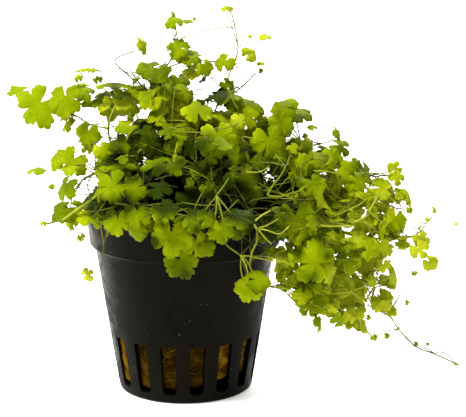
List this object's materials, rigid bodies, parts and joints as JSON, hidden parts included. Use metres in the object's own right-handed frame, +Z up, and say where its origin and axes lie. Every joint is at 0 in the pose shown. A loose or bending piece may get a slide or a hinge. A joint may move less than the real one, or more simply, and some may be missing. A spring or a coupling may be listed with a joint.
{
  "type": "potted japan hydrocotyle",
  "caption": "Bushy aquarium hydrocotyle with small lobed green leaves on creeping stems, rooted in mineral wool in a slotted black net pot.",
  "frame": {"origin": "centre of the pot's base, on the surface it stands on", "axes": "+Z up along the pot's axis, -Y to the front of the plant, +X towards the long trailing stem"},
  "size_m": [0.1245, 0.0919, 0.1052],
  "materials": {
    "pot": "black moulded plastic, wet",
    "growing_medium": "brown mineral wool",
    "leaf": "fresh green leaf",
    "stem": "fresh green stem"
  },
  "bodies": {
    "root": {"back_high_left_leaf_1": "leaf", "back_high_left_runner": "stem", "back_high_right_leaf_1": "leaf", "back_high_right_runner": "stem", "back_left_leaf_1": "leaf", "back_left_runner": "stem", "back_middle_leaf_1": "leaf", "back_middle_runner": "stem", "back_right_leaf_1": "leaf", "back_right_runner": "stem", "back_top_leaf_1": "leaf", "back_top_runner": "stem", "front_centre_leaf_1": "leaf", "front_centre_leaf_2": "leaf", "front_centre_leaf_3": "leaf", "front_centre_leaf_4": "leaf", "front_centre_runner": "stem", "front_left_leaf_1": "leaf", "front_left_runner": "stem", "front_middle_leaf_1": "leaf", "front_middle_leaf_2": "leaf", "front_middle_leaf_3": "leaf", "front_middle_leaf_4": "leaf", "front_middle_leaf_5": "leaf", "front_middle_leaf_6": "leaf", "front_middle_leaf_7": "leaf", "front_middle_runner": "stem", "front_right_leaf_1": "leaf", "front_right_leaf_2": "leaf", "front_right_runner": "stem", "growing_medium": "growing_medium", "left_high_leaf_1": "leaf", "left_high_leaf_2": "leaf", "left_high_leaf_3": "leaf", "left_high_leaf_4": "leaf", "left_high_leaf_5": "leaf", "left_high_runner": "stem", "left_low_leaf_1": "leaf", "left_low_runner": "stem", "left_mid_leaf_1": "leaf", "left_mid_leaf_2": "leaf", "left_mid_runner": "stem", "pot": "pot", "right_far_runner": "stem", "right_high_leaf_1": "leaf", "right_high_runner": "stem", "right_low_leaf_1": "leaf", "right_low_leaf_2": "leaf", "right_low_runner": "stem", "right_mid_leaf_1": "leaf", "right_mid_leaf_2": "leaf", "right_mid_runner": "stem", "top_centre_leaf_1": "leaf", "top_centre_leaf_2": "leaf", "top_centre_runner": "stem", "top_left_leaf_1": "leaf", "top_left_runner": "stem"}
  },
  "joints": []
}
